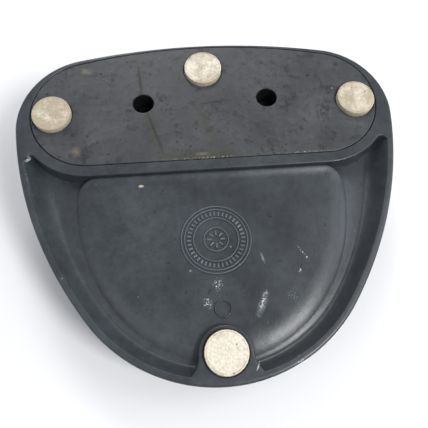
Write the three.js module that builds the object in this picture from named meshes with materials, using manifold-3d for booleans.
// Foot pedal for a sewing machine. A moulded body stands on four felt pads and
// carries a carbon-pile speed control in its raised rear housing. A moulded
// treadle is hinged at the narrow end and presses the control's plunger.
// Millimetres, +Z up, rear (wide end) towards +Y, origin on the floor at the
// middle of the plan.

import * as THREE from 'three';
import { mergeVertices } from 'three/addons/utils/BufferGeometryUtils.js';
import Module from 'manifold-3d';

const wasm = await Module();
wasm.setup();

// ---------------------------------------------------------------- clearances
const SLIP = 0.3;                 // gap all round a piece that drops into another
const CUT = 2;                    // how far a cutting solid runs past what it cuts

// ------------------------------------------------------------- body, in plan
const BODY_WIDTH = 157;
const BODY_LENGTH = 142.6;
const REAR_RADIUS = 280;          // the four tangent arcs of each half outline
const CORNER_RADIUS = 31.5;
const SIDE_RADIUS = 154;
const FRONT_RADIUS = 60.5;
const RIM_THICKNESS = 2.8;

// ---------------------------------------------------------- body, in section
const PAD_STAND = 2;              // floor to the underside of the body
const BODY_DEPTH = 14.5;          // underside to the ledge under the treadle
const FOOT_ROUND = 1.2;           // bullnose at the outer bottom edge
const SHOULDER_RADIUS = 6;
const WALL = 3;
const RECESS_DEPTH = 7.2;         // deepest part of the underside channel
const COVE_WIDTH = 8;             // the channel's outer wall sweeps into its roof
const TIP_RADIUS = 2.2;           // blunt ends of the channel beside the housing
const PLATEAU_DEPTH = 2.6;        // foot-shaped plateau inside the channel
const CREASE_DEPTH = 4.6;         // where the plateau's edge meets the channel
const CREASE_STEP = 0.2;
const CHANNEL_RUN = 12;           // how far the channel slopes away from the crease
const CHANNEL_FALL = 2.4;         // and how much deeper it gets over that run
const PLATEAU_HALF_WIDTH = 53.8;
const PLATEAU_AHEAD = 64.8;       // front and rear radius of the plateau's oval
const PLATEAU_BEHIND = 58;
const PLATEAU_FRONT_MARGIN = 8.5;
const PLATEAU_EDGE = 7;           // width of the rolled edge
const PLATEAU_REAR_EDGE = 2;      // and its width along the housing's wall
const PLATEAU_REAR_TUCK = 1.4;    // rear crease behind the face of that wall
const PLATEAU_CORNER = 8;
const WELL_INSET = 14;            // hollow under the treadle, inside the body's outline

// ------------------------------------------------------------- access plate
const PLATE_THICKNESS = 3;
const PLATE_END_RADIUS = 24.5;
const PLATE_SIDE_BORDER = 5.7;
const PLATE_REAR_BORDER = 1.2;
const PLATE_END_FROM_REAR = 31.2;
const PLATE_SEAT = 4;             // ledge that the plate's edge rests on
const HOUSING_BORDER = 4.4;       // flush band in front of the plate
const PLATE_SCREW_FROM_END = 22.25; // inboard of the plate's end centres
const PLATE_SCREW_BEHIND = 2.9;   // behind the plate's end centres
const TUNNEL_RADIUS = 4.4;
const TUNNEL_DEPTH = 10;
const TUNNEL_WALL = 2.1;
const TUNNEL_FLOOR = 2.5;
const PLATE_SCREW_HEAD_RADIUS = 3.7;
const PLATE_SCREW_HEAD = 2.4;
const PLATE_SCREW_RADIUS = 2;
const PLATE_SCREW_LENGTH = 9;

// ---------------------------------------------------------------- felt pads
const PAD_RADIUS = 8;
const PAD_POCKET = 1;
const PAD_SIDE_INSET = 9.2;       // pad centre from the plate's end
const PAD_SIDE_FORWARD = 0.5;     // pad centre ahead of the plate's end centre
const PAD_REAR_INSET = 11.9;      // pad centre from the plate's rear edge
const PAD_FRONT_INSET = 11.3;     // pad centre from the body's front
const BOSS_RADIUS = 10;
const BOSS_FLARE = 4;

// ------------------------------------------------------------------ housing
const ROOF_HEIGHT = 25;           // underside of the body to the roof's top
const HOUSING_INSET = 13.5;       // housing wall inside the body's outline
const HOUSING_FRONT_STEP = 5.4;   // housing wall behind the underside wall
const HOUSING_ROUND = 3;

// ------------------------------------------------------------------ treadle
const TREADLE_INSET = 9.5;
const TREADLE_WALL = 2.5;
const TREADLE_TRAVEL = 4;         // degrees
const TREADLE_SLOPE = 5;          // degrees, top face when pressed
const TREADLE_HINGE_COVER = 6.5;  // pin centre to the top face
const TREADLE_EDGE_RADIUS = 7;
const TREADLE_CROWN = 1.2;
const TREADLE_CLEARANCE = 1.4;    // pressed skirt above the ledge
const RIB_COUNT = 9;
const RIB_PITCH = 8.5;
const RIB_WIDTH = 3.2;
const RIB_HEIGHT = 0.9;
const RIB_MARGIN = 26;            // rib ends inside the body's outline
const RIB_FIRST = 22;             // first rib behind the hinge

// -------------------------------------------------------------------- hinge
const HINGE_FROM_FRONT = 25.3;
const HINGE_RISE = 4;             // pin centre above the ledge
const PIN_RADIUS = 2;
const KNUCKLE_RADIUS = 3.5;
const LUG_START = 14;             // inner face of each body lug from the middle
const LUG_WIDTH = 5;
const CLIP_WIDTH = 1;

// ----------------------------------------------------------- treadle spring
const SPRING_FROM_REAR = 25.3;
const SPRING_RADIUS = 5.3;        // to the middle of the wire
const SPRING_WIRE = 1.4;
const SPRING_TURNS = 7;
const CUP_DEPTH = 12;
const SPRING_BOSS_COVER = 3.4;    // seat face below the treadle's top face

// ------------------------------------------------------ plunger and its bush
const PLUNGER_RADIUS = 3;
const PLUNGER_HEAD_RADIUS = 6;
const PLUNGER_HEAD = 1.6;
const STRIKER_BOSS_COVER = 3.2;   // striker face below the treadle's top face
const STRIKER_BOSS_RADIUS = 7;
const BUSH_WALL = 2;
const BUSH_FLANGE_RADIUS = 7;
const BUSH_FLANGE = 1.2;
const BUSH_TAIL = 2;

// ------------------------------------------------------------ contact lever
const LEVER_PIVOT_DROP = 4;       // below the roof's inner face
const LEVER_THICKNESS = 2.5;
const LEVER_WIDTH = 8;
const LEVER_KNUCKLE = 3.2;
const LEVER_PIN_RADIUS = 1.5;
const LEVER_LUG = 2;
const NOSE_WIDTH = 3;
const NOSE_DROP = 8;
const BRIDGE_THICKNESS = 1.6;
const BRIDGE_LENGTH = 16;
const BRIDGE_HEIGHT = 4;
const LEVER_SPRING_RADIUS = 3.6;
const LEVER_SPRING_WIRE = 0.9;
const LEVER_SPRING_TURNS = 6;

// ----------------------------------------------------- rheostat and its piles
const BLOCK_LENGTH = 21.5;
const BLOCK_WIDTH = 18;
const BLOCK_FRONT_GAP = 1;        // to the housing's front wall
const BLOCK_SIDE_GAP = 0.6;       // from the pile contacts to its side wall
const BLOCK_HEIGHT = 16;
const PILE_RADIUS = 3.5;
const PILE_SPACING = 9;
const PILE_DISCS = 8;
const PILE_GAP = 2;               // bridge to the piles at rest
const PILE_PROUD = 0.7;
const CONTACT_FLANGE_RADIUS = 4.3;
const CONTACT_FLANGE = 1.2;
const CONTACT_STEM = 2.4;         // the part of a contact inside the block
const EAR_LENGTH = 17;
const EAR_WIDTH = 7;
const EAR_THICKNESS = 3;
const SMALL_SCREW_RADIUS = 1.5;
const SMALL_SCREW_HEAD_RADIUS = 2.8;
const SMALL_SCREW_HEAD = 2;
const EAR_SCREW_SPACING = 9.6;

// ------------------------------------------------------------ terminal block
const TERMINAL_SIDE_GAP = 2.4;    // to the housing's side wall
const TERMINAL_LENGTH = 22;
const TERMINAL_WIDTH = 14;
const TERMINAL_HEIGHT = 7;
const BARRIER_HEIGHT = 2.7;
const BARRIER_WIDTH = 1.5;

// --------------------------------------------------------------- cord inlet
const INLET_BORE = 3.3;
const INLET_WALL = 0.9;
const INLET_COLLAR_RADIUS = 5.1;
const INLET_COLLAR = 1.5;
const INLET_RISE = 8.5;           // above the underside of the body

// ------------------------------------------------------------ derived places
const HALF_WIDTH = BODY_WIDTH / 2;
const REAR_Y = BODY_LENGTH / 2;
const FRONT_Y = -BODY_LENGTH / 2;
const UNDERSIDE_Z = PAD_STAND;
const LEDGE_Z = UNDERSIDE_Z + BODY_DEPTH;
const ROOF_Z = UNDERSIDE_Z + ROOF_HEIGHT;
const CEILING_Z = ROOF_Z - WALL;
const PLATE_TOP_Z = UNDERSIDE_Z + PLATE_THICKNESS;
const PLATEAU_Z = UNDERSIDE_Z + PLATEAU_DEPTH;
const WELL_FLOOR_Z = PLATEAU_Z + WALL;
const CHANNEL_Z = UNDERSIDE_Z + RECESS_DEPTH;
const PLATE_END_Y = REAR_Y - PLATE_END_FROM_REAR;
const PLATE_FRONT_Y = PLATE_END_Y - PLATE_END_RADIUS;
const WALL_Y = PLATE_FRONT_Y - HOUSING_BORDER;
const HOUSING_FRONT_Y = WALL_Y + HOUSING_FRONT_STEP;
const CAVITY_FRONT_Y = HOUSING_FRONT_Y + WALL;
const WELL_STEP_Z = CHANNEL_Z + WALL;
const PLATEAU_CENTRE_Y = FRONT_Y + PLATEAU_FRONT_MARGIN + PLATEAU_AHEAD;
const PLATEAU_REAR_Y = WALL_Y + PLATEAU_REAR_TUCK;
const HINGE_Y = FRONT_Y + HINGE_FROM_FRONT;
const HINGE_Z = LEDGE_Z + HINGE_RISE;
const PIN_END = LUG_START + 2 * LUG_WIDTH + 3 * SLIP + CLIP_WIDTH + 1;
const SCREW_X = HALF_WIDTH - PLATE_SIDE_BORDER - PLATE_END_RADIUS - PLATE_SCREW_FROM_END;
const SCREW_Y = PLATE_END_Y + PLATE_SCREW_BEHIND;
const SCREW_SEAT_Z = UNDERSIDE_Z + TUNNEL_DEPTH;
const POST_END_Z = SCREW_SEAT_Z + TUNNEL_FLOOR + SLIP;
const POST_RADIUS = TUNNEL_RADIUS + TUNNEL_WALL - 1;
const PLUNGER_Y = CAVITY_FRONT_Y + BLOCK_FRONT_GAP + BLOCK_WIDTH / 2;
const PLUNGER_FROM_HINGE = PLUNGER_Y - HINGE_Y;
const SPRING_Y = REAR_Y - SPRING_FROM_REAR;
const SPRING_FROM_HINGE = SPRING_Y - HINGE_Y;
const CUP_FLOOR_Z = ROOF_Z - CUP_DEPTH;
const PIVOT_Z = CEILING_Z - LEVER_PIVOT_DROP;
const LEVER_TOP_Z = PIVOT_Z + LEVER_THICKNESS / 2;
const PILE_Z = PIVOT_Z - NOSE_DROP + BRIDGE_HEIGHT / 2;
const MOUNT_Z = CEILING_Z - SLIP;   // top of what hangs from the housing's roof
const INLET_Z = UNDERSIDE_Z + INLET_RISE;
const SLOPE = Math.tan(THREE.MathUtils.degToRad(TREADLE_SLOPE));
const REST_ANGLE = THREE.MathUtils.degToRad(TREADLE_TRAVEL);
const SIDES = [['left', -1], ['right', 1]];

// ----------------------------------------------------------------- materials
const finish = (color, roughness, metalness) => ({ color, roughness, metalness });
const PHENOLIC = finish(0x474c50, 0.42, 0);
const PLATE_PHENOLIC = finish(0x5a5f62, 0.5, 0);
const FELT = finish(0xd8cdb6, 0.95, 0);
const STEEL = finish(0x9b9d9e, 0.35, 1);
const BRASS = finish(0xb08d4f, 0.35, 1);
const PORCELAIN = finish(0xe4e0d4, 0.3, 0);
const CARBON = finish(0x202022, 0.7, 0);
const RUBBER = finish(0x1d1d1e, 0.8, 0);

// ------------------------------------------------------------ solid modelling
// A closed geometry becomes a solid once its shared corners are merged.
function solid(geometry) {
  const bare = geometry.index ? geometry.toNonIndexed() : geometry.clone();
  bare.deleteAttribute('normal');
  bare.deleteAttribute('uv');
  const merged = mergeVertices(bare, 1e-4);
  return new wasm.Manifold(new wasm.Mesh({
    numProp: 3,
    vertProperties: new Float32Array(merged.attributes.position.array),
    triVerts: new Uint32Array(merged.index.array),
  }));
}

const join = (...parts) => parts.reduce((sum, part) => sum.add(part));
const cut = (body, ...tools) => tools.reduce((rest, tool) => rest.subtract(tool), body);

function node(name, body, look) {
  const mesh = body.getMesh();
  const geometry = new THREE.BufferGeometry();
  geometry.setAttribute('position', new THREE.BufferAttribute(mesh.vertProperties, 3));
  geometry.setIndex(new THREE.BufferAttribute(mesh.triVerts, 1));
  geometry.computeVertexNormals();
  const result = new THREE.Mesh(geometry, new THREE.MeshStandardMaterial(look));
  result.name = name;
  return result;
}

// A block between two corners.
function block(x0, x1, y0, y1, z0, z1) {
  const shape = new THREE.BoxGeometry(x1 - x0, y1 - y0, z1 - z0);
  shape.translate((x0 + x1) / 2, (y0 + y1) / 2, (z0 + z1) / 2);
  return solid(shape);
}

// A round bar from z0 to z1 on the vertical axis through x, y.
function post(radius, x, y, z0, z1, sides = 24) {
  const shape = new THREE.CylinderGeometry(radius, radius, z1 - z0, sides);
  shape.rotateX(Math.PI / 2);
  shape.translate(x, y, (z0 + z1) / 2);
  return solid(shape);
}

// A round bar along X or Y, from one end to the other.
function rod(axis, radius, from, to, otherPlace, z, sides = 20) {
  const shape = new THREE.CylinderGeometry(radius, radius, to - from, sides);
  if (axis === 'x') shape.rotateZ(Math.PI / 2);
  const middle = (from + to) / 2;
  if (axis === 'x') shape.translate(middle, otherPlace, z);
  else shape.translate(otherPlace, middle, z);
  return solid(shape);
}

// A profile of [radius, height] pairs turned about the vertical axis.
function turned(profile, sides = 24) {
  const points = profile.map(([radius, height]) => new THREE.Vector2(radius, height));
  const shape = new THREE.LatheGeometry(points, sides);
  shape.rotateX(Math.PI / 2);
  return solid(shape);
}

// A flat shape in the XY plane pulled up from z0 to z1.
function pulled(shape, z0, z1, curveSegments = 12) {
  const geometry = new THREE.ExtrudeGeometry(shape, { depth: z1 - z0, bevelEnabled: false, curveSegments });
  geometry.translate(0, 0, z0);
  return solid(geometry);
}

// A loft through rings of equal count, closed at both ends by a fan.
function loft(rings, endRise = 0) {
  const count = rings[0].length;
  const position = [];
  rings.forEach((ring) => ring.forEach((p) => position.push(p.x, p.y, p.z)));
  const middles = [rings[0], rings[rings.length - 1]].map((ring) => {
    const middle = new THREE.Vector3();
    ring.forEach((p) => middle.add(p));
    return middle.divideScalar(count);
  });
  middles[1].z += endRise;
  middles.forEach((p) => position.push(p.x, p.y, p.z));
  const bottom = rings.length * count;
  const last = (rings.length - 1) * count;
  const faces = [];
  for (let i = 0; i < count; i += 1) {
    const next = (i + 1) % count;
    faces.push(bottom, next, i);
    faces.push(bottom + 1, last + i, last + next);
    for (let row = 0; row < last; row += count) {
      faces.push(row + i, row + next, row + count + next);
      faces.push(row + i, row + count + next, row + count + i);
    }
  }
  const geometry = new THREE.BufferGeometry();
  geometry.setAttribute('position', new THREE.Float32BufferAttribute(position, 3));
  geometry.setIndex(faces);
  return solid(geometry);
}

// A ring at one height, or at a height that depends on the place in plan.
const level = (outline, height) => outline.map((p) => new THREE.Vector3(
  p.x, p.y, typeof height === 'function' ? height(p) : height));

// A half outline, from the rear round to the front, and its mirror image.
function mirrored(half) {
  const inner = half.slice(1, -1).map((p) => new THREE.Vector2(-p.x, p.y));
  return [...half, ...inner.reverse()].reverse();
}

// Points along an arc, both ends included.
function arc(centre, radius, from, to, steps) {
  return Array.from({ length: steps + 1 }, (_, i) => {
    const angle = from + ((to - from) * i) / steps;
    return new THREE.Vector2(centre.x + radius * Math.cos(angle), centre.y + radius * Math.sin(angle));
  });
}

const heading = (from, to) => Math.atan2(to.y - from.y, to.x - from.x);

// The body's outline: rear, corner, side and front arcs, each tangent to the
// next. An inset outline keeps the centres and takes the inset off each radius.
const rearCentre = new THREE.Vector2(0, REAR_Y - REAR_RADIUS);
const cornerX = HALF_WIDTH - CORNER_RADIUS;
const cornerCentre = new THREE.Vector2(
  cornerX, rearCentre.y + Math.sqrt((REAR_RADIUS - CORNER_RADIUS) ** 2 - cornerX ** 2));
const frontCentre = new THREE.Vector2(0, FRONT_Y + FRONT_RADIUS);
const sideCentre = (() => {
  const reachCorner = SIDE_RADIUS - CORNER_RADIUS;
  const reachFront = SIDE_RADIUS - FRONT_RADIUS;
  const span = cornerCentre.distanceTo(frontCentre);
  const along = (reachCorner ** 2 - reachFront ** 2 + span ** 2) / (2 * span);
  const across = Math.sqrt(reachCorner ** 2 - along ** 2);
  const direction = frontCentre.clone().sub(cornerCentre).divideScalar(span);
  return new THREE.Vector2(
    cornerCentre.x + direction.x * along + direction.y * across,
    cornerCentre.y + direction.y * along - direction.x * across);
})();

function bodyOutline(inset) {
  const rearTurn = heading(rearCentre, cornerCentre);
  const sideTurn = heading(sideCentre, cornerCentre);
  const frontTurn = heading(sideCentre, frontCentre);
  return mirrored([
    ...arc(rearCentre, REAR_RADIUS - inset, Math.PI / 2, rearTurn, 6),
    ...arc(cornerCentre, CORNER_RADIUS - inset, rearTurn, sideTurn, 8).slice(1),
    ...arc(sideCentre, SIDE_RADIUS - inset, sideTurn, frontTurn, 7).slice(1),
    ...arc(frontCentre, FRONT_RADIUS - inset, frontTurn, -Math.PI / 2, 8).slice(1),
  ]);
}

// The access plate's outline: round ends, a straight front and a rear arc that
// is tangent to both ends and keeps the rear border at the middle.
const plateEndX = HALF_WIDTH - PLATE_SIDE_BORDER - PLATE_END_RADIUS;
const plateEnd = new THREE.Vector2(plateEndX, PLATE_END_Y);
const plateRearY = REAR_Y - PLATE_REAR_BORDER;
const plateRise = plateRearY - PLATE_END_Y;
const plateRearRadius = (plateEndX ** 2 + plateRise ** 2 - PLATE_END_RADIUS ** 2)
  / (2 * (plateRise - PLATE_END_RADIUS));
const plateRearCentre = new THREE.Vector2(0, plateRearY - plateRearRadius);

function plateOutline(inset) {
  const turn = heading(plateRearCentre, plateEnd);
  return mirrored([
    ...arc(plateRearCentre, plateRearRadius - inset, Math.PI / 2, turn, 5),
    ...arc(plateEnd, PLATE_END_RADIUS - inset, turn, -Math.PI / 2, 14).slice(1),
    new THREE.Vector2(0, PLATE_FRONT_Y + inset),
  ]);
}

// The plateau's outline: an oval with a longer front half, cut off by a straight
// rear edge with round corners.
function plateauOutline(inset, rearY) {
  const halfWidth = PLATEAU_HALF_WIDTH - inset;
  const corner = Math.max(PLATEAU_CORNER - inset, 0.5);
  const share = (rearY - corner - PLATEAU_CENTRE_Y) / PLATEAU_BEHIND;
  const cornerMiddle = new THREE.Vector2(halfWidth * Math.sqrt(1 - share ** 2) - corner, rearY - corner);
  const half = [new THREE.Vector2(0, rearY), ...arc(cornerMiddle, corner, Math.PI / 2, 0, 4)];
  const start = Math.asin(share);
  for (let i = 1; i <= 14; i += 1) {
    const angle = start - (start + Math.PI / 2) * (i / 14);
    const reach = angle > 0 ? PLATEAU_BEHIND : PLATEAU_AHEAD - inset;
    half.push(new THREE.Vector2(halfWidth * Math.cos(angle), PLATEAU_CENTRE_Y + reach * Math.sin(angle)));
  }
  half[half.length - 1].x = 0;
  return mirrored(half);
}

// What stands in the housing is set from its side walls: the pile contacts, the
// block, the bridge and the lever's pivot on one side, the terminals on the other.
const cavityOutline = bodyOutline(HOUSING_INSET + WALL);
const cavityReach = (half) => Math.min(
  halfWidthAt(cavityOutline, PLUNGER_Y - half), halfWidthAt(cavityOutline, PLUNGER_Y + half));
const BLOCK_START_X = CONTACT_FLANGE + BLOCK_SIDE_GAP
  - cavityReach(PILE_SPACING / 2 + CONTACT_FLANGE_RADIUS);
const BLOCK_END_X = BLOCK_START_X + BLOCK_LENGTH;
const PILE_FACE_X = BLOCK_END_X + PILE_PROUD;
const PILE_LENGTH = BLOCK_LENGTH + PILE_PROUD - CONTACT_STEM - SLIP;
const BRIDGE_X = PILE_FACE_X + PILE_GAP;
const PIVOT_X = BRIDGE_X + BRIDGE_THICKNESS + SLIP + NOSE_WIDTH / 2;
const TERMINAL_START = cavityReach(TERMINAL_WIDTH / 2) - TERMINAL_SIDE_GAP - TERMINAL_LENGTH;

// The least gap of a wire to itself, measured between points of its centre line
// that lie more than half a turn apart.
function leastGap(points, wire, halfTurn) {
  let least = Infinity;
  points.forEach((p, i) => {
    for (let j = i + halfTurn; j < points.length; j += 1) least = Math.min(least, p.distanceTo(points[j]));
  });
  return least - wire;
}

// A coil of round wire between two heights, ends square to the axis.
function coil(x, y, z0, z1, radius, wire, turns) {
  const stepsPerTurn = 8;
  const bottom = z0 + wire / 2;
  const rise = z1 - z0 - wire;
  const points = [];
  for (let i = 0; i <= turns * stepsPerTurn; i += 1) {
    const angle = (i / stepsPerTurn) * Math.PI * 2;
    const share = i / (turns * stepsPerTurn);
    points.push(new THREE.Vector3(
      x + radius * Math.cos(angle), y + radius * Math.sin(angle), bottom + rise * share));
  }
  const section = new THREE.Shape();
  for (let i = 0; i < 5; i += 1) {
    const angle = (i / 5) * Math.PI * 2;
    const corner = [(wire / 2) * Math.cos(angle), (wire / 2) * Math.sin(angle)];
    if (i === 0) section.moveTo(...corner);
    else section.lineTo(...corner);
  }
  section.closePath();
  const path = new THREE.CatmullRomCurve3(points);
  const steps = turns * stepsPerTurn;
  const geometry = new THREE.ExtrudeGeometry(section, { steps, extrudePath: path, bevelEnabled: false });
  const clearance = leastGap(points, wire, stepsPerTurn / 2);
  console.log(`coil at ${x}, ${y.toFixed(1)}: least gap to itself ${clearance.toFixed(2)} mm`);
  return solid(geometry);
}

// ---------------------------------------------------------------- body shell
function quarterRound(fromInset, radius, topZ, steps) {
  return Array.from({ length: steps + 1 }, (_, i) => {
    const angle = (Math.PI / 2) * (i / steps);
    return [fromInset + radius * (1 - Math.cos(angle)), topZ - radius + radius * Math.sin(angle)];
  });
}

// The outer form: bullnosed foot, upright wall and rounded shoulder.
function bodyForm() {
  const foot = quarterRound(0, FOOT_ROUND, 0, 2).map(([inset, z]) => [inset, UNDERSIDE_Z - z]).reverse();
  const shoulder = quarterRound(0, SHOULDER_RADIUS, LEDGE_Z, 4);
  return loft([...foot, ...shoulder].map(([inset, z]) => level(bodyOutline(inset), z)));
}

// The underside's recess: a coved channel that runs round inside the rim, less
// the foot-shaped plateau, the housing, the boss of the front pad and the two
// blunt ends.
function undersideRecess() {
  const cove = [1, 2, 3, 4, 5].map((i) => {
    const rise = RECESS_DEPTH * Math.sin((Math.PI / 2) * (i / 5));
    return level(bodyOutline(RIM_THICKNESS + (COVE_WIDTH * i) / 5), UNDERSIDE_Z + rise);
  });
  const channel = loft([
    level(bodyOutline(RIM_THICKNESS), UNDERSIDE_Z - CUT),
    level(bodyOutline(RIM_THICKNESS), UNDERSIDE_Z),
    ...cove,
  ]);
  const creaseZ = UNDERSIDE_Z + CREASE_DEPTH;
  const edgeRise = CREASE_DEPTH - CREASE_STEP - PLATEAU_DEPTH;
  const edgeRings = [0, 1, 2, 3].map((i) => {
    const angle = (Math.PI / 2) * (i / 3);
    const inset = PLATEAU_EDGE * (1 - Math.sin(angle));
    const rearY = PLATEAU_REAR_Y - PLATEAU_REAR_EDGE * (1 - Math.sin(angle));
    return level(plateauOutline(inset, rearY), PLATEAU_Z + edgeRise * (1 - Math.cos(angle)));
  });
  const roofRings = [0, 1, 2, 3].map((i) => {
    const outset = CREASE_STEP + (CHANNEL_RUN * i) / 3;
    const rise = CHANNEL_FALL * Math.sin((Math.PI / 2) * (i / 3));
    return level(plateauOutline(-outset, PLATEAU_REAR_Y + outset), creaseZ + rise);
  });
  const outside = CREASE_STEP + CHANNEL_RUN + 1;
  const plateau = loft([
    ...edgeRings,
    ...roofRings,
    level(plateauOutline(-outside, PLATEAU_REAR_Y + outside), CHANNEL_Z + CUT),
  ]);
  const housing = loft([
    level(plateOutline(-HOUSING_BORDER), UNDERSIDE_Z - 2 * CUT),
    level(plateOutline(-HOUSING_BORDER), UNDERSIDE_Z),
    level(plateOutline(-HOUSING_BORDER - 0.5), CHANNEL_Z - 1),
    level(plateOutline(-HOUSING_BORDER - 1.5), CHANNEL_Z + CUT),
  ]);
  return cut(channel, plateau, housing, frontBoss(), ...SIDES.map(([, side]) => channelTip(side)));
}

// Each end of the channel is round: what fills the corner beyond it, less a
// cylinder that touches both the rim and the housing's wall.
function channelTip(side) {
  const toRim = SIDE_RADIUS - RIM_THICKNESS - TIP_RADIUS;
  const toWall = PLATE_END_RADIUS + HOUSING_BORDER + TIP_RADIUS;
  const span = sideCentre.distanceTo(plateEnd);
  const along = (toWall ** 2 - toRim ** 2 + span ** 2) / (2 * span);
  const across = Math.sqrt(toWall ** 2 - along ** 2);
  const direction = sideCentre.clone().sub(plateEnd).divideScalar(span);
  const x = plateEnd.x + direction.x * along - direction.y * across;
  const y = plateEnd.y + direction.y * along + direction.x * across;
  const lean = (heading(sideCentre, { x, y }) + heading(plateEnd, { x, y }) + Math.PI) / 2 - Math.PI / 2;
  const width = 2 * TIP_RADIUS + CUT;
  const depth = HOUSING_INSET;
  const filler = new THREE.BoxGeometry(width, depth, CHANNEL_Z + 3 * CUT);
  filler.translate(0, depth / 2, 0);
  filler.rotateZ(lean);
  filler.translate(x, y, UNDERSIDE_Z);
  const round = post(TIP_RADIUS, x, y, -CHANNEL_Z, 3 * CHANNEL_Z, 20);
  const tip = cut(solid(filler), round);
  return side > 0 ? tip : tip.mirror([1, 0, 0]);
}

// The front pad's boss runs out to the rim and flares where it meets it.
function frontBoss() {
  const padY = FRONT_Y + PAD_FRONT_INSET;
  const shape = new THREE.Shape();
  shape.moveTo(-BOSS_RADIUS - BOSS_FLARE, FRONT_Y);
  shape.lineTo(BOSS_RADIUS + BOSS_FLARE, FRONT_Y);
  shape.quadraticCurveTo(BOSS_RADIUS, FRONT_Y + PAD_FRONT_INSET / 2, BOSS_RADIUS, padY);
  shape.absarc(0, padY, BOSS_RADIUS, 0, Math.PI, false);
  shape.quadraticCurveTo(-BOSS_RADIUS, FRONT_Y + PAD_FRONT_INSET / 2, -BOSS_RADIUS - BOSS_FLARE, FRONT_Y);
  return pulled(shape, UNDERSIDE_Z - 2 * CUT, CHANNEL_Z + CUT, 8);
}

// The raised housing: the body's outline set in, with a rounded roof edge and
// a front wall of its own.
function housingBlock() {
  const rounds = quarterRound(HOUSING_INSET, HOUSING_ROUND, ROOF_Z, 2);
  const plan = loft([
    level(bodyOutline(HOUSING_INSET), WELL_FLOOR_Z - CUT),
    ...rounds.map(([inset, z]) => level(bodyOutline(inset), z)),
  ]);
  const front = new THREE.Shape();
  front.moveTo(HOUSING_FRONT_Y, 0);
  front.lineTo(HOUSING_FRONT_Y, ROOF_Z - HOUSING_ROUND);
  front.absarc(HOUSING_FRONT_Y + HOUSING_ROUND, ROOF_Z - HOUSING_ROUND, HOUSING_ROUND, Math.PI, Math.PI / 2, true);
  front.lineTo(REAR_Y + CUT, ROOF_Z);
  front.lineTo(REAR_Y + CUT, 0);
  front.closePath();
  const side = new THREE.ExtrudeGeometry(front, { depth: BODY_WIDTH, bevelEnabled: false, curveSegments: 3 });
  side.rotateX(Math.PI / 2);
  side.rotateZ(Math.PI / 2);
  side.translate(-HALF_WIDTH, 0, 0);
  return plan.intersect(solid(side));
}

// A lug that stands between two X places and rounds over the hinge pin.
function hingeLug(x0, x1, footZ, y, z, radius) {
  const barrel = rod('x', radius, x0, x1, y, z);
  return join(barrel, block(x0, x1, y - radius, y + radius, Math.min(footZ, z), Math.max(footZ, z)));
}

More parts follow.
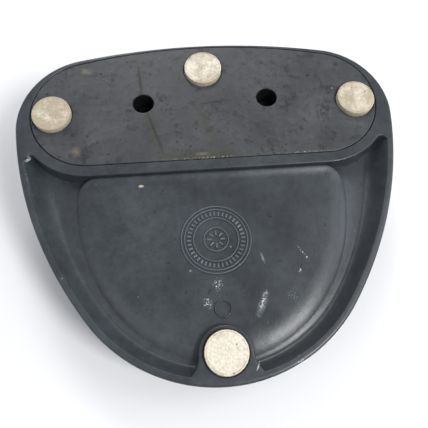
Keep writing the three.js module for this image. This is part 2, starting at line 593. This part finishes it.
function bodyShell() {
  const wellRearY = HOUSING_FRONT_Y + CUT;
  const step = loft([
    level(bodyOutline(WELL_INSET), WELL_STEP_Z),
    level(bodyOutline(WELL_INSET), LEDGE_Z + CUT),
  ]).intersect(block(-HALF_WIDTH, HALF_WIDTH, FRONT_Y, wellRearY, 0, ROOF_Z));
  const well = loft([
    level(plateauOutline(WALL + 1, wellRearY), WELL_FLOOR_Z),
    level(plateauOutline(WALL, wellRearY), WELL_FLOOR_Z + 2),
    level(plateauOutline(WALL - 1, wellRearY), LEDGE_Z + CUT),
  ]);
  const rebate = loft([
    level(plateOutline(0), UNDERSIDE_Z - CUT),
    level(plateOutline(0), PLATE_TOP_Z),
  ]);
  const lowerCavity = loft([
    level(plateOutline(PLATE_SEAT), UNDERSIDE_Z),
    level(plateOutline(PLATE_SEAT), LEDGE_Z - WALL),
  ]);
  const cavityInset = HOUSING_INSET + WALL;
  const upperCavity = loft([
    level(bodyOutline(cavityInset), PLATE_TOP_Z),
    level(bodyOutline(cavityInset), CEILING_Z),
  ]).intersect(block(-HALF_WIDTH, HALF_WIDTH, CAVITY_FRONT_Y, REAR_Y, 0, ROOF_Z));
  const cupRadius = SPRING_RADIUS + SPRING_WIRE / 2 + SLIP;
  const pinHole = PIN_RADIUS + SLIP;

  let shell = cut(bodyForm(), step, well);
  shell = join(shell, housingBlock());
  shell = cut(shell, undersideRecess(), rebate, lowerCavity, upperCavity);

  // Screw posts, the spring's cup and the lugs of the lever's pin hang from
  // the roof, and the hinge lugs stand on the floor of the well.
  SIDES.forEach(([, side]) => {
    shell = join(shell, post(POST_RADIUS, side * SCREW_X, SCREW_Y, POST_END_Z, CEILING_Z + 1));
    const inner = side > 0 ? LUG_START : -LUG_START - LUG_WIDTH;
    shell = join(shell, hingeLug(
      inner, inner + LUG_WIDTH, WELL_FLOOR_Z - 1, HINGE_Y, HINGE_Z, KNUCKLE_RADIUS));
  });
  shell = join(shell, post(cupRadius + WALL, 0, SPRING_Y, CUP_FLOOR_Z - WALL, CEILING_Z + 1));
  leverLugPlaces().forEach((y) => {
    const lug = rod('y', LEVER_KNUCKLE, y, y + LEVER_LUG, PIVOT_X, PIVOT_Z);
    const root = block(
      PIVOT_X - LEVER_KNUCKLE, PIVOT_X + LEVER_KNUCKLE, y, y + LEVER_LUG, PIVOT_Z, CEILING_Z + 1);
    shell = join(shell, lug, root);
  });

  // Holes.
  SIDES.forEach(([, side]) => {
    shell = cut(shell, post(
      PLATE_SCREW_RADIUS + SLIP, side * SCREW_X, SCREW_Y, POST_END_Z - 1, CEILING_Z - 1.5, 16));
  });
  smallScrewPlaces().forEach(([x, y]) => {
    shell = cut(shell, post(SMALL_SCREW_RADIUS + SLIP, x, y, CEILING_Z - 1, ROOF_Z + 1, 12));
  });
  const lugPin = rod(
    'y', LEVER_PIN_RADIUS + SLIP, PLUNGER_Y - LEVER_WIDTH, PLUNGER_Y + LEVER_WIDTH, PIVOT_X, PIVOT_Z, 16);
  const padY = FRONT_Y + PAD_FRONT_INSET;
  return cut(
    shell,
    post(cupRadius, 0, SPRING_Y, CUP_FLOOR_Z, ROOF_Z + 1),
    post(PLUNGER_RADIUS + BUSH_WALL + 2 * SLIP, 0, PLUNGER_Y, CEILING_Z - 1, ROOF_Z + 1),
    lugPin,
    rod('x', pinHole, -PIN_END, PIN_END, HINGE_Y, HINGE_Z, 16),
    post(PAD_RADIUS + SLIP, 0, padY, UNDERSIDE_Z - 1, UNDERSIDE_Z + PAD_POCKET, 28),
    rod('y', INLET_BORE + INLET_WALL + SLIP, plateRearY - 2 * PLATE_SEAT, REAR_Y + 1, 0, INLET_Z),
    rod('y', INLET_COLLAR_RADIUS + SLIP, REAR_Y - INLET_COLLAR, REAR_Y + 1, 0, INLET_Z),
  );
}

// The near face of each of the two lugs of the lever's pin.
function leverLugPlaces() {
  const clear = LEVER_WIDTH / 2 + SLIP;
  return [PLUNGER_Y - clear - LEVER_LUG, PLUNGER_Y + clear];
}

// ------------------------------------------------------------- access plate
function padPlaces() {
  const sideX = HALF_WIDTH - PLATE_SIDE_BORDER - PAD_SIDE_INSET;
  return {
    left: [-sideX, PLATE_END_Y - PAD_SIDE_FORWARD],
    right: [sideX, PLATE_END_Y - PAD_SIDE_FORWARD],
    rear: [0, plateRearY - PAD_REAR_INSET],
    front: [0, FRONT_Y + PAD_FRONT_INSET],
  };
}

function accessPlate() {
  let plate = loft([
    level(plateOutline(SLIP), UNDERSIDE_Z),
    level(plateOutline(SLIP), PLATE_TOP_Z),
  ]);
  const tunnelTop = SCREW_SEAT_Z + TUNNEL_FLOOR;
  SIDES.forEach(([, side]) => {
    const x = side * SCREW_X;
    plate = join(plate, post(TUNNEL_RADIUS + TUNNEL_WALL, x, SCREW_Y, PLATE_TOP_Z - 1, tunnelTop));
    plate = cut(
      plate,
      post(TUNNEL_RADIUS, x, SCREW_Y, UNDERSIDE_Z - 1, SCREW_SEAT_Z),
      post(PLATE_SCREW_RADIUS + SLIP, x, SCREW_Y, SCREW_SEAT_Z - 1, tunnelTop + 1, 16),
    );
  });
  // A low ring keeps the foot of the lever's spring in place.
  const ringInner = LEVER_SPRING_RADIUS + LEVER_SPRING_WIRE / 2 + SLIP;
  const ring = cut(
    post(ringInner + 1.2, 0, PLUNGER_Y, PLATE_TOP_Z - 1, PLATE_TOP_Z + 2),
    post(ringInner, 0, PLUNGER_Y, PLATE_TOP_Z - 2, PLATE_TOP_Z + 3),
  );
  plate = join(plate, ring);
  const { left, right, rear } = padPlaces();
  [left, right, rear].forEach(([x, y]) => {
    plate = cut(plate, post(PAD_RADIUS + SLIP, x, y, UNDERSIDE_Z - 1, UNDERSIDE_Z + PAD_POCKET, 28));
  });
  return plate;
}

function plateScrew() {
  const head = turned([
    [0, SCREW_SEAT_Z - PLATE_SCREW_HEAD],
    [PLATE_SCREW_HEAD_RADIUS - 0.6, SCREW_SEAT_Z - PLATE_SCREW_HEAD],
    [PLATE_SCREW_HEAD_RADIUS, SCREW_SEAT_Z - PLATE_SCREW_HEAD + 0.6],
    [PLATE_SCREW_HEAD_RADIUS, SCREW_SEAT_Z],
    [PLATE_SCREW_RADIUS, SCREW_SEAT_Z],
    [PLATE_SCREW_RADIUS, SCREW_SEAT_Z + PLATE_SCREW_LENGTH - 1],
    [PLATE_SCREW_RADIUS - 0.7, SCREW_SEAT_Z + PLATE_SCREW_LENGTH],
    [0, SCREW_SEAT_Z + PLATE_SCREW_LENGTH],
  ], 20);
  const slotZ = SCREW_SEAT_Z - PLATE_SCREW_HEAD;
  const reach = PLATE_SCREW_HEAD_RADIUS + 1;
  return cut(head, block(-reach, reach, -0.5, 0.5, slotZ - 1, slotZ + 1.1));
}

function feltPad() {
  const top = UNDERSIDE_Z + PAD_POCKET;
  return turned([
    [0, 0], [PAD_RADIUS - 0.7, 0], [PAD_RADIUS - 0.2, 0.25], [PAD_RADIUS, 0.8], [PAD_RADIUS, top], [0, top],
  ], 28);
}

// ------------------------------------------------------------------ treadle
// Modelled in its pressed pose, skirt level, and turned up to rest by its
// group. Places are relative to the hinge pin.
const topFace = (p) => TREADLE_HINGE_COVER + p.y * SLOPE;

function treadleRings(inset, drop, skirtZ) {
  const aboutPin = (outline) => outline.map((p) => new THREE.Vector2(p.x, p.y - HINGE_Y));
  const ring = (extra, height) => level(aboutPin(bodyOutline(TREADLE_INSET + extra)), height);
  const radius = TREADLE_EDGE_RADIUS - inset;
  const rounds = [0, 1, 2, 3, 4].map((i) => {
    const angle = (Math.PI / 2) * (i / 4);
    const extra = inset + radius * (1 - Math.cos(angle));
    return ring(extra, (p) => topFace(p) - drop - radius * (1 - Math.sin(angle)));
  });
  const crownSteps = [[13, 0.55], [20.5, 0.85]];
  const crown = crownSteps.map(([extra, share]) => (
    ring(extra, (p) => topFace(p) - drop + TREADLE_CROWN * share)));
  return [ring(inset, skirtZ), ...rounds, ...crown];
}

function treadle() {
  const skirtZ = LEDGE_Z + TREADLE_CLEARANCE - HINGE_Z;
  const capRise = TREADLE_CROWN * 0.15;
  const form = loft(treadleRings(0, 0, skirtZ), capRise);
  const hollow = loft(treadleRings(TREADLE_WALL, TREADLE_WALL, skirtZ - CUT), capRise);
  const raised = loft(treadleRings(TREADLE_EDGE_RADIUS, -RIB_HEIGHT, 0), capRise);

  // Grip ribs: bars with round ends, each as long as the treadle is wide there.
  const spine = bodyOutline(RIB_MARGIN);
  let ribs = null;
  for (let i = 0; i < RIB_COUNT; i += 1) {
    const y = RIB_FIRST + i * RIB_PITCH;
    const reach = halfWidthAt(spine, y + HINGE_Y);
    const shape = new THREE.Shape();
    shape.moveTo(-reach, y - RIB_WIDTH / 2);
    shape.lineTo(reach, y - RIB_WIDTH / 2);
    shape.absarc(reach, y, RIB_WIDTH / 2, -Math.PI / 2, Math.PI / 2, false);
    shape.lineTo(-reach, y + RIB_WIDTH / 2);
    shape.absarc(-reach, y, RIB_WIDTH / 2, Math.PI / 2, (3 * Math.PI) / 2, false);
    const bar = pulled(shape, 0, 4 * TREADLE_EDGE_RADIUS, 4);
    ribs = ribs ? join(ribs, bar) : bar;
  }
  let shell = cut(join(form, ribs.intersect(raised)), hollow);

  // Striker and spring seats, and the two lugs that turn on the pin.
  const strikerZ = topFace({ y: PLUNGER_FROM_HINGE }) - STRIKER_BOSS_COVER;
  const seatZ = topFace({ y: SPRING_FROM_HINGE }) - SPRING_BOSS_COVER;
  const seatRadius = SPRING_RADIUS + SPRING_WIRE / 2 + 1.5;
  const high = 4 * TREADLE_EDGE_RADIUS;
  let inside = join(
    post(STRIKER_BOSS_RADIUS, 0, PLUNGER_FROM_HINGE, strikerZ, high),
    post(seatRadius, 0, SPRING_FROM_HINGE, seatZ, high),
  );
  SIDES.forEach(([, side]) => {
    const start = LUG_START + LUG_WIDTH + SLIP;
    const inner = side > 0 ? start : -start - LUG_WIDTH;
    inside = join(inside, hingeLug(inner, inner + LUG_WIDTH, high, 0, 0, KNUCKLE_RADIUS));
  });
  shell = join(shell, inside.intersect(form));
  return cut(shell, rod('x', PIN_RADIUS + SLIP, -PIN_END, PIN_END, 0, 0, 16));
}

// Half the width of an outline at one place along its length.
function halfWidthAt(outline, y) {
  let width = 0;
  outline.forEach((p, i) => {
    const q = outline[(i + 1) % outline.length];
    if ((p.y - y) * (q.y - y) <= 0 && p.y !== q.y) {
      const x = p.x + ((q.x - p.x) * (y - p.y)) / (q.y - p.y);
      width = Math.max(width, Math.abs(x));
    }
  });
  return width;
}

// Where a face of the treadle that is level when pressed stands at rest, on
// the vertical line at one distance behind the pin.
function restHeight(behind, heightAbovePin) {
  const along = (behind + heightAbovePin * Math.sin(REST_ANGLE)) / Math.cos(REST_ANGLE);
  return HINGE_Z + along * Math.sin(REST_ANGLE) + heightAbovePin * Math.cos(REST_ANGLE);
}

// --------------------------------------------------------------------- hinge
function hingePin() {
  return rod('x', PIN_RADIUS, -PIN_END, PIN_END, HINGE_Y, HINGE_Z);
}

function pinClip(side) {
  const inner = LUG_START + 2 * LUG_WIDTH + 3 * SLIP;
  const [from, to] = side > 0 ? [inner, inner + CLIP_WIDTH] : [-inner - CLIP_WIDTH, -inner];
  const washer = rod('x', KNUCKLE_RADIUS - 0.3, from, to, HINGE_Y, HINGE_Z);
  return cut(
    washer,
    rod('x', PIN_RADIUS + SLIP, from - 1, to + 1, HINGE_Y, HINGE_Z, 16),
    block(from - 1, to + 1, HINGE_Y - 1, HINGE_Y + 1, HINGE_Z, HINGE_Z + 2 * KNUCKLE_RADIUS),
  );
}

// ----------------------------------------------------------- springs, plunger
const strikerFace = topFace({ y: PLUNGER_FROM_HINGE }) - STRIKER_BOSS_COVER;
const springFace = topFace({ y: SPRING_FROM_HINGE }) - SPRING_BOSS_COVER;
const plungerTopZ = restHeight(PLUNGER_FROM_HINGE, strikerFace) - SLIP;
const springTilt = (SPRING_RADIUS + SPRING_WIRE / 2) * Math.sin(REST_ANGLE);
const springTopZ = restHeight(SPRING_FROM_HINGE, springFace) - SLIP - springTilt;
const plungerTravel = plungerTopZ + SLIP - (HINGE_Z + strikerFace);

function plunger() {
  const dome = 0.5;
  return turned([
    [0, LEVER_TOP_Z + SLIP],
    [PLUNGER_RADIUS - 1, LEVER_TOP_Z + SLIP],
    [PLUNGER_RADIUS, LEVER_TOP_Z + SLIP + 1],
    [PLUNGER_RADIUS, plungerTopZ - PLUNGER_HEAD],
    [PLUNGER_HEAD_RADIUS, plungerTopZ - PLUNGER_HEAD],
    [PLUNGER_HEAD_RADIUS, plungerTopZ - dome],
    [PLUNGER_HEAD_RADIUS / 2, plungerTopZ - dome / 4],
    [0, plungerTopZ],
  ]);
}

function plungerBush() {
  const bore = PLUNGER_RADIUS + SLIP;
  const body = bore + BUSH_WALL;
  return turned([
    [bore, CEILING_Z - BUSH_TAIL],
    [body, CEILING_Z - BUSH_TAIL],
    [body, ROOF_Z],
    [BUSH_FLANGE_RADIUS, ROOF_Z],
    [BUSH_FLANGE_RADIUS, ROOF_Z + BUSH_FLANGE],
    [bore, ROOF_Z + BUSH_FLANGE],
    [bore, CEILING_Z - BUSH_TAIL],
  ]);
}

// ------------------------------------------------------------ contact lever
// A bell crank on its pin: a long arm under the plunger and a short nose that
// pushes the bridge on to the piles.
function contactLever() {
  const half = LEVER_THICKNESS / 2;
  const tip = PLUNGER_RADIUS + 1.5;
  const profile = new THREE.Shape();
  profile.moveTo(PIVOT_X - NOSE_WIDTH / 2, PIVOT_Z);
  profile.lineTo(PIVOT_X - NOSE_WIDTH / 2, PIVOT_Z - NOSE_DROP);
  profile.lineTo(PIVOT_X + NOSE_WIDTH / 2, PIVOT_Z - NOSE_DROP);
  profile.lineTo(PIVOT_X + NOSE_WIDTH / 2 + 1, PIVOT_Z - LEVER_KNUCKLE);
  profile.lineTo(PIVOT_X + 2 * LEVER_KNUCKLE, PIVOT_Z - half);
  profile.lineTo(tip - 1, PIVOT_Z - half);
  profile.lineTo(tip, PIVOT_Z - half + 1);
  profile.lineTo(tip, PIVOT_Z + half);
  profile.lineTo(PIVOT_X, PIVOT_Z + half);
  profile.closePath();
  const arm = new THREE.ExtrudeGeometry(profile, { depth: LEVER_WIDTH, bevelEnabled: false });
  arm.rotateX(Math.PI / 2);
  arm.translate(0, PLUNGER_Y + LEVER_WIDTH / 2, 0);
  const from = PLUNGER_Y - LEVER_WIDTH / 2;
  const to = PLUNGER_Y + LEVER_WIDTH / 2;
  return cut(
    join(solid(arm), rod('y', LEVER_KNUCKLE - 0.4, from, to, PIVOT_X, PIVOT_Z)),
    rod('y', LEVER_PIN_RADIUS + SLIP, from - 1, to + 1, PIVOT_X, PIVOT_Z, 16),
  );
}

function leverPin() {
  const reach = LEVER_WIDTH / 2 + SLIP + LEVER_LUG + 0.5;
  return rod('y', LEVER_PIN_RADIUS, PLUNGER_Y - reach, PLUNGER_Y + reach, PIVOT_X, PIVOT_Z, 16);
}

function contactBridge() {
  const z = PILE_Z;
  const bar = block(
    BRIDGE_X, BRIDGE_X + BRIDGE_THICKNESS, PLUNGER_Y - BRIDGE_LENGTH / 2, PLUNGER_Y + BRIDGE_LENGTH / 2,
    z - BRIDGE_HEIGHT / 2, z + BRIDGE_HEIGHT / 2);
  const contacts = pilePlaces().map(([, y]) => rod('x', 1.6, BRIDGE_X - 0.4, BRIDGE_X + 1, y, z, 12));
  return join(bar, ...contacts);
}

// ---------------------------------------------------------- rheostat, piles
function pilePlaces() {
  return [['front', PLUNGER_Y - PILE_SPACING / 2], ['rear', PLUNGER_Y + PILE_SPACING / 2]];
}

function earScrewPlaces() {
  const middle = BLOCK_END_X - BLOCK_LENGTH / 2;
  const y = PLUNGER_Y + BLOCK_WIDTH / 2 + EAR_WIDTH / 2;
  return SIDES.map(([, side]) => [middle + (side * EAR_SCREW_SPACING) / 2, y]);
}

function terminalScrewPlaces() {
  const quarter = TERMINAL_LENGTH / 4;
  return [TERMINAL_START + quarter, TERMINAL_START + 3 * quarter].map((x) => [x, PLUNGER_Y]);
}

const smallScrewPlaces = () => [...earScrewPlaces(), ...terminalScrewPlaces()];

// The porcelain block: two bores for the piles and a pair of ears on one side.
function rheostatBlock() {
  const face = new THREE.Shape();
  const half = BLOCK_WIDTH / 2;
  const low = MOUNT_Z - BLOCK_HEIGHT;
  const chamfer = 1.2;
  face.moveTo(-half + chamfer, low);
  face.lineTo(half - chamfer, low);
  face.lineTo(half, low + chamfer);
  face.lineTo(half, MOUNT_Z);
  face.lineTo(-half, MOUNT_Z);
  face.lineTo(-half, low + chamfer);
  face.closePath();
  pilePlaces().forEach(([, y]) => {
    const hole = new THREE.Path();
    hole.absarc(y - PLUNGER_Y, PILE_Z, PILE_RADIUS + SLIP, 0, Math.PI * 2, true);
    face.holes.push(hole);
  });
  const body = new THREE.ExtrudeGeometry(face, { depth: BLOCK_LENGTH, bevelEnabled: false, curveSegments: 16 });
  body.rotateX(Math.PI / 2);
  body.rotateZ(Math.PI / 2);
  body.translate(BLOCK_START_X, PLUNGER_Y, 0);
  const middle = BLOCK_END_X - BLOCK_LENGTH / 2;
  const ears = block(
    middle - EAR_LENGTH / 2, middle + EAR_LENGTH / 2, PLUNGER_Y + half - 1, PLUNGER_Y + half + EAR_WIDTH,
    MOUNT_Z - EAR_THICKNESS, MOUNT_Z);
  const holes = earScrewPlaces().map(([x, y]) => (
    post(SMALL_SCREW_RADIUS + SLIP, x, y, MOUNT_Z - 2 * EAR_THICKNESS, MOUNT_Z + 1, 12)));
  return cut(join(solid(body), ears), ...holes);
}

// A stack of carbon discs, shown by a fine groove between each pair.
function carbonPile(y) {
  const pitch = PILE_LENGTH / PILE_DISCS;
  const groove = 0.25;
  const profile = [[0, 0]];
  for (let i = 0; i < PILE_DISCS; i += 1) {
    profile.push([PILE_RADIUS, i * pitch + (i ? groove / 2 : 0)]);
    profile.push([PILE_RADIUS, (i + 1) * pitch - (i < PILE_DISCS - 1 ? groove / 2 : 0)]);
    if (i < PILE_DISCS - 1) profile.push([PILE_RADIUS - groove, (i + 1) * pitch]);
  }
  profile.push([0, PILE_LENGTH]);
  const body = turned(profile, 12).rotate([0, 90, 0]);
  return body.translate([PILE_FACE_X - PILE_LENGTH, y, PILE_Z]);
}

function pileContact(y) {
  const stemEnd = BLOCK_START_X + CONTACT_STEM;
  return join(
    rod('x', PILE_RADIUS, BLOCK_START_X, stemEnd, y, PILE_Z, 16),
    rod('x', CONTACT_FLANGE_RADIUS, BLOCK_START_X - CONTACT_FLANGE, BLOCK_START_X, y, PILE_Z, 16),
  );
}

// A slotted screw that points up, its head's upper face at seatZ.
function smallScrew([x, y], seatZ) {
  const tipZ = ROOF_Z - 0.5;
  const head = turned([
    [0, seatZ - SMALL_SCREW_HEAD],
    [SMALL_SCREW_HEAD_RADIUS - 0.8, seatZ - SMALL_SCREW_HEAD],
    [SMALL_SCREW_HEAD_RADIUS, seatZ - SMALL_SCREW_HEAD + 0.9],
    [SMALL_SCREW_HEAD_RADIUS, seatZ],
    [SMALL_SCREW_RADIUS, seatZ],
    [SMALL_SCREW_RADIUS, tipZ],
    [0, tipZ],
  ], 14);
  const slotZ = seatZ - SMALL_SCREW_HEAD;
  const reach = SMALL_SCREW_HEAD_RADIUS + 1;
  return cut(head, block(-reach, reach, -0.4, 0.4, slotZ - 1, slotZ + 0.8)).translate([x, y, 0]);
}

// ------------------------------------------------------------ terminal block
function terminalBlock() {
  const y0 = PLUNGER_Y - TERMINAL_WIDTH / 2;
  const y1 = PLUNGER_Y + TERMINAL_WIDTH / 2;
  const low = MOUNT_Z - TERMINAL_HEIGHT;
  let body = block(TERMINAL_START, TERMINAL_START + TERMINAL_LENGTH, y0, y1, low, MOUNT_Z);
  for (let i = 0; i < 3; i += 1) {
    const x = TERMINAL_START + (i * (TERMINAL_LENGTH - BARRIER_WIDTH)) / 2;
    body = join(body, block(x, x + BARRIER_WIDTH, y0, y1, low - BARRIER_HEIGHT, low + 1));
  }
  const holes = terminalScrewPlaces().map(([x, y]) => (
    post(SMALL_SCREW_RADIUS + SLIP, x, y, low - 1, MOUNT_Z + 1, 12)));
  return cut(body, ...holes);
}

// ----------------------------------------------------------- cord inlet bush
function inletBush() {
  const bodyRadius = INLET_BORE + INLET_WALL;
  const length = PLATE_SEAT + PLATE_REAR_BORDER + 1;
  const bush = turned([
    [INLET_BORE, 0],
    [INLET_COLLAR_RADIUS, 0],
    [INLET_COLLAR_RADIUS, INLET_COLLAR],
    [bodyRadius, INLET_COLLAR],
    [bodyRadius, length],
    [INLET_BORE, length],
    [INLET_BORE, 0],
  ]).rotate([90, 0, 0]);
  return bush.translate([0, REAR_Y, INLET_Z]);
}

// ------------------------------------------------------------------ assembly
const pedal = new THREE.Group();
pedal.add(node('base_shell', bodyShell(), PHENOLIC));
pedal.add(node('access_plate', accessPlate(), PLATE_PHENOLIC));
Object.entries(padPlaces()).forEach(([name, [x, y]]) => {
  const pad = node(`felt_pad_${name}`, feltPad(), FELT);
  pad.position.set(x, y, 0);
  pedal.add(pad);
});
SIDES.forEach(([name, side]) => {
  const screw = node(`plate_screw_${name}`, plateScrew(), STEEL);
  screw.position.set(side * SCREW_X, SCREW_Y, 0);
  pedal.add(screw);
  pedal.add(node(`hinge_clip_${name}`, pinClip(side), STEEL));
});
pedal.add(node('hinge_pin', hingePin(), STEEL));

const pressedTreadle = new THREE.Group();
pressedTreadle.position.set(0, HINGE_Y, HINGE_Z);
pressedTreadle.rotation.x = REST_ANGLE;
pressedTreadle.add(node('treadle', treadle(), PHENOLIC));
pedal.add(pressedTreadle);

const springFootZ = CUP_FLOOR_Z + SLIP;
pedal.add(node('treadle_spring', coil(
  0, SPRING_Y, springFootZ, springTopZ, SPRING_RADIUS, SPRING_WIRE, SPRING_TURNS), STEEL));
const plungerNode = node('plunger', plunger(), BRASS);
plungerNode.position.set(0, PLUNGER_Y, 0);
pedal.add(plungerNode);
const bushNode = node('plunger_bush', plungerBush(), BRASS);
bushNode.position.set(0, PLUNGER_Y, 0);
pedal.add(bushNode);

pedal.add(node('contact_lever', contactLever(), STEEL));
pedal.add(node('lever_pin', leverPin(), STEEL));
pedal.add(node('contact_bridge', contactBridge(), BRASS));
pedal.add(node('lever_spring', coil(
  0, PLUNGER_Y, PLATE_TOP_Z + SLIP, LEVER_TOP_Z - LEVER_THICKNESS - SLIP,
  LEVER_SPRING_RADIUS, LEVER_SPRING_WIRE, LEVER_SPRING_TURNS), STEEL));

pedal.add(node('rheostat_block', rheostatBlock(), PORCELAIN));
pilePlaces().forEach(([name, y]) => {
  pedal.add(node(`carbon_pile_${name}`, carbonPile(y), CARBON));
  pedal.add(node(`pile_contact_${name}`, pileContact(y), BRASS));
});
pedal.add(node('terminal_block', terminalBlock(), PHENOLIC));
SIDES.forEach(([name], i) => {
  const earScrew = smallScrew(earScrewPlaces()[i], MOUNT_Z - EAR_THICKNESS);
  pedal.add(node(`rheostat_screw_${name}`, earScrew, STEEL));
  const terminalScrew = smallScrew(terminalScrewPlaces()[i], MOUNT_Z - TERMINAL_HEIGHT);
  pedal.add(node(`terminal_screw_${name}`, terminalScrew, BRASS));
});
pedal.add(node('cord_inlet_bush', inletBush(), RUBBER));

console.log(`lever pivot at ${PIVOT_X.toFixed(3)} mm`);
console.log(`plunger travel ${plungerTravel.toFixed(3)} mm, top at rest ${plungerTopZ.toFixed(3)} mm`);
export default pedal;
